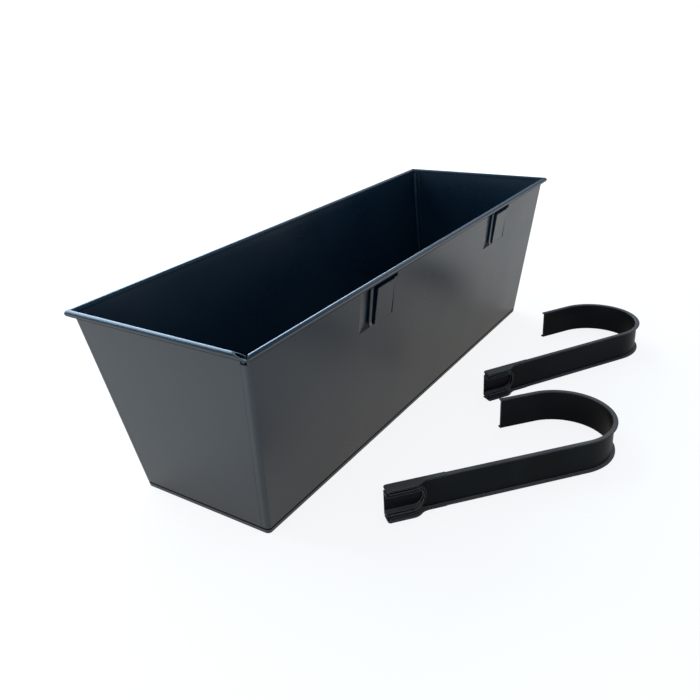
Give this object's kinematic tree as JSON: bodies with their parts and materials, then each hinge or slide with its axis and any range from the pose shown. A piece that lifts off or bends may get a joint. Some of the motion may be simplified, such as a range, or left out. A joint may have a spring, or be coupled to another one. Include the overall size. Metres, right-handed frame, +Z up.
{
  "type": "hanging planter",
  "caption": "Tapered rectangular sheet-metal trough planter with a rolled rim and hook sockets in one long side, with loose J-shaped railing hooks lying beside it.",
  "frame": {"origin": "middle of the trough's base, on the surface that it stands on", "axes": "+X along the trough, the side with the hook sockets facing -Y, +Z up"},
  "size_m": [0.6, 0.389, 0.182],
  "materials": {
    "coated_sheet": "satin charcoal powder coat on sheet steel",
    "hook_black": "satin black moulded plastic"
  },
  "bodies": {
    "trough": {"railing_side_panel": "coated_sheet", "front_panel": "coated_sheet", "left_end_panel": "coated_sheet", "right_end_panel": "coated_sheet", "base_pan": "coated_sheet"},
    "near_hook": {"near_hook": "hook_black"},
    "far_hook": {"far_hook": "hook_black"}
  },
  "joints": [
    {"name": "near_hook_lift", "type": "slide", "parent": "trough", "child": "near_hook", "axis": [0, 0, 1], "range_m": [0, 0.25]},
    {"name": "far_hook_lift", "type": "slide", "parent": "trough", "child": "far_hook", "axis": [0, 0, 1], "range_m": [0, 0.25]}
  ]
}
